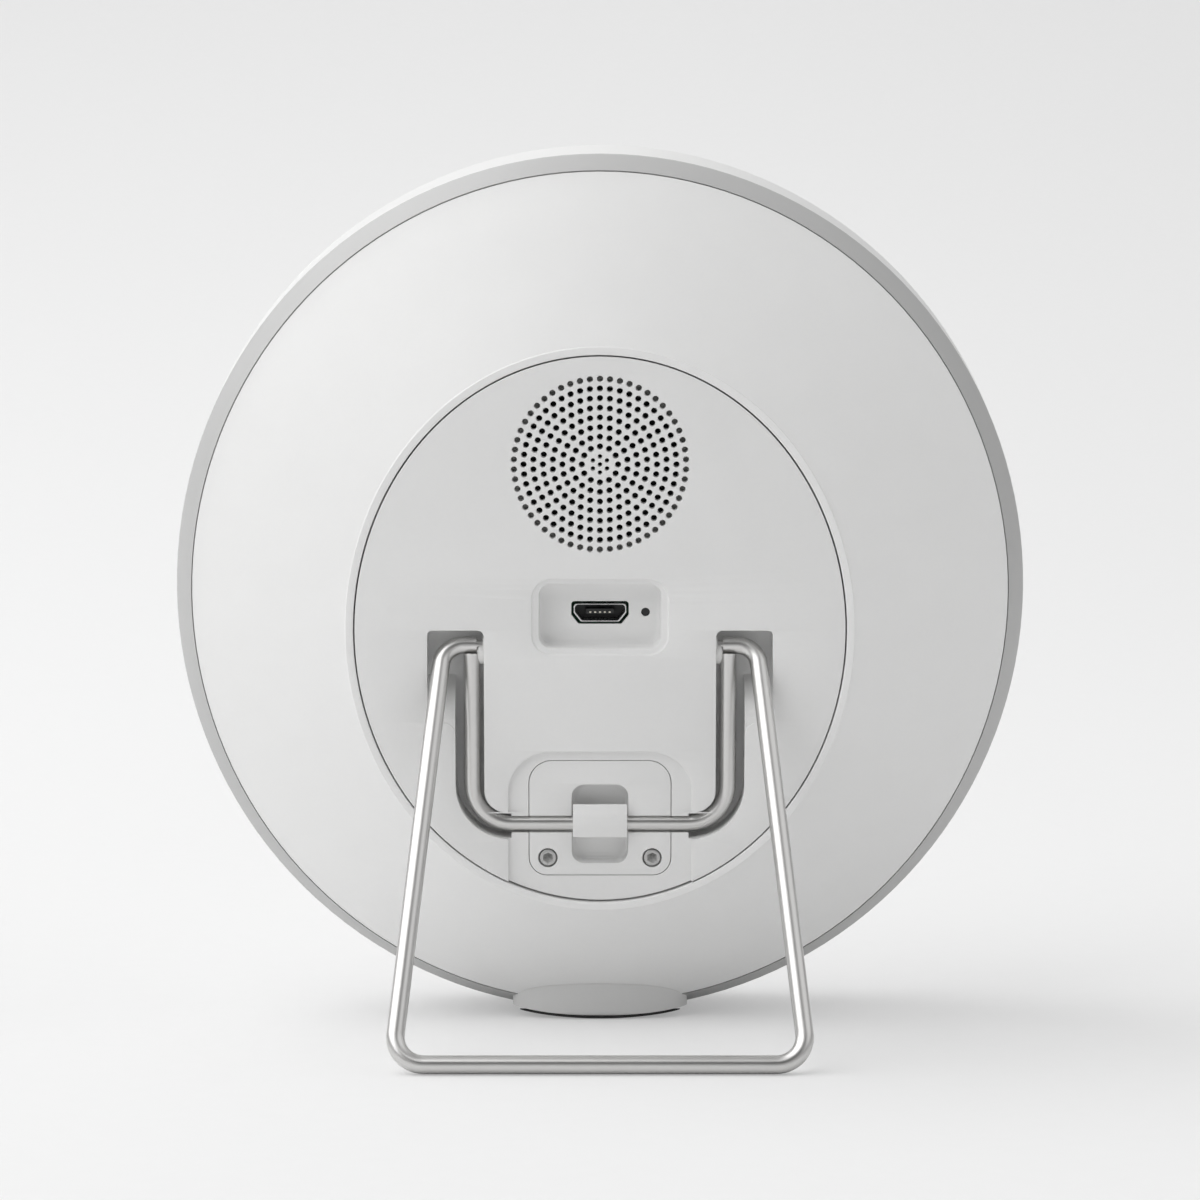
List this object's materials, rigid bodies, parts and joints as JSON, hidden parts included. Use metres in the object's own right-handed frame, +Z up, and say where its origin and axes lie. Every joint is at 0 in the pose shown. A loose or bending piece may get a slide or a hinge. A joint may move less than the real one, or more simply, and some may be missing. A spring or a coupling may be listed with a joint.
{
  "type": "wake-up light",
  "caption": "Round bedside wake-up light with a conical back, perforated speaker grille, port recess, latch and small foot, leaning on a folding wire stand.",
  "frame": {"origin": "middle of the bottom of the object's box, on the table it stands on", "axes": "+Z up, +Y towards the lamp's lit front, +X to the right for someone behind the lamp"},
  "size_m": [0.1402, 0.0844, 0.1452],
  "materials": {
    "diffuser_opal": "satin opal white",
    "housing_white": "satin white moulding",
    "cover_grey": "fine matte moulding, pale grey",
    "band_grey": "satin mid grey",
    "wire_steel": "polished round wire",
    "hardware_steel": "plated",
    "magnet_ferrite": "dull",
    "black_plastic": "matte black",
    "circuit_board": "coated board",
    "gasket_foam": "soft foam",
    "sole_rubber": "matte"
  },
  "bodies": {
    "lamp_body": {"front_diffuser": "diffuser_opal", "rim_band": "band_grey", "rear_dome": "housing_white", "pod_cover": "cover_grey", "speaker_grille": "cover_grey", "clip_plate": "cover_grey", "foot": "cover_grey", "foot_sole": "sole_rubber", "speaker_gasket": "gasket_foam", "speaker_cone": "black_plastic", "speaker_basket": "black_plastic", "speaker_magnet": "magnet_ferrite", "usb_shell": "hardware_steel", "usb_tongue": "black_plastic", "main_board": "circuit_board", "reset_switch": "black_plastic", "backup_cell": "hardware_steel", "chassis_plate": "housing_white", "led_board": "circuit_board", "reflector": "housing_white", "display_post": "housing_white", "display_board": "circuit_board", "detent_wire": "wire_steel", "pivot_bush_left": "housing_white", "pivot_bush_right": "housing_white", "latch_spring": "hardware_steel", "clip_screw_left": "hardware_steel", "clip_screw_right": "hardware_steel", "chassis_screw_1": "hardware_steel", "cover_screw_1": "hardware_steel", "chassis_screw_2": "hardware_steel", "cover_screw_2": "hardware_steel", "chassis_screw_3": "hardware_steel", "cover_screw_3": "hardware_steel", "chassis_screw_4": "hardware_steel", "cover_screw_4": "hardware_steel"},
    "stand": {"stand_bail": "wire_steel"},
    "latch_slider": {"latch": "cover_grey"},
    "reset_button": {"reset_plunger": "black_plastic"}
  },
  "joints": [
    {"name": "stand_fold", "type": "hinge", "parent": "lamp_body", "child": "stand", "pos_m": [0, -0.00644, 0.06377], "axis": [1, 0, 0], "range_deg": [0, 14.5]},
    {"name": "latch_slide", "type": "slide", "parent": "lamp_body", "child": "latch_slider", "axis": [0, 0.1045, -0.9945], "range_m": [0, 0.0029], "stiffness_N_per_m": 300, "springref_m": -0.002},
    {"name": "reset_press", "type": "slide", "parent": "lamp_body", "child": "reset_button", "axis": [0, 0.9945, 0.1045], "range_m": [0, 0.00025], "stiffness_N_per_m": 800, "springref_m": -0.0005}
  ]
}
